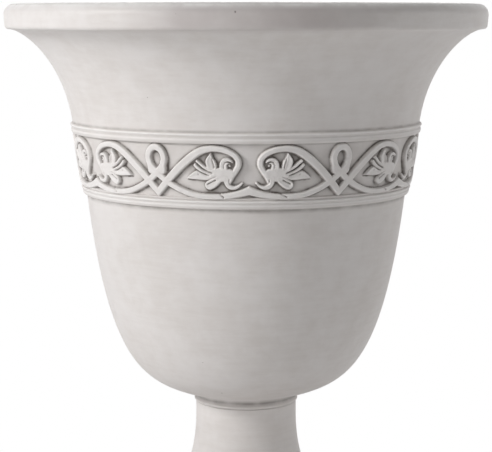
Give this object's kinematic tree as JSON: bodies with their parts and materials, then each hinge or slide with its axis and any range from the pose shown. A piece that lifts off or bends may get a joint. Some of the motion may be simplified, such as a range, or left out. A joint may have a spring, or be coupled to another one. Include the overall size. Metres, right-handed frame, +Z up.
{
  "type": "urn planter",
  "caption": "Bell-shaped garden urn planter with a wide rolled lip and a scroll frieze between beads, bolted on a trumpet-stemmed pedestal with a square plinth.",
  "frame": {"origin": "on the ground under the urn's vertical axis, at the pads' undersides", "axes": "+Z up along the urn's axis, X and Y square to the plinth's sides, -Y towards the viewer of the picture"},
  "size_m": [0.546, 0.546, 0.65],
  "materials": {
    "cast_stone": "matt, antiqued light warm grey",
    "zinc_steel": "zinc plated",
    "rubber": "matt black"
  },
  "bodies": {
    "urn": {"bowl": "cast_stone", "pedestal": "cast_stone", "joint_gasket": "rubber", "tie_bolt": "zinc_steel", "bolt_seal": "rubber", "bolt_washer": "zinc_steel", "deck_washer": "zinc_steel", "lock_washer": "zinc_steel", "wing_nut": "zinc_steel", "foot_pad_1": "rubber", "foot_pad_2": "rubber", "foot_pad_3": "rubber", "foot_pad_4": "rubber"},
    "drain_plug_1": {"drain_plug_1": "rubber"},
    "drain_plug_2": {"drain_plug_2": "rubber"},
    "drain_plug_3": {"drain_plug_3": "rubber"},
    "drain_plug_4": {"drain_plug_4": "rubber"}
  },
  "joints": [
    {"name": "drain_plug_1_lift", "type": "slide", "parent": "urn", "child": "drain_plug_1", "axis": [0, 0, 1], "range_m": [0, 0.47]},
    {"name": "drain_plug_2_lift", "type": "slide", "parent": "urn", "child": "drain_plug_2", "axis": [0, 0, 1], "range_m": [0, 0.47]},
    {"name": "drain_plug_3_lift", "type": "slide", "parent": "urn", "child": "drain_plug_3", "axis": [0, 0, 1], "range_m": [0, 0.47]},
    {"name": "drain_plug_4_lift", "type": "slide", "parent": "urn", "child": "drain_plug_4", "axis": [0, 0, 1], "range_m": [0, 0.47]}
  ]
}
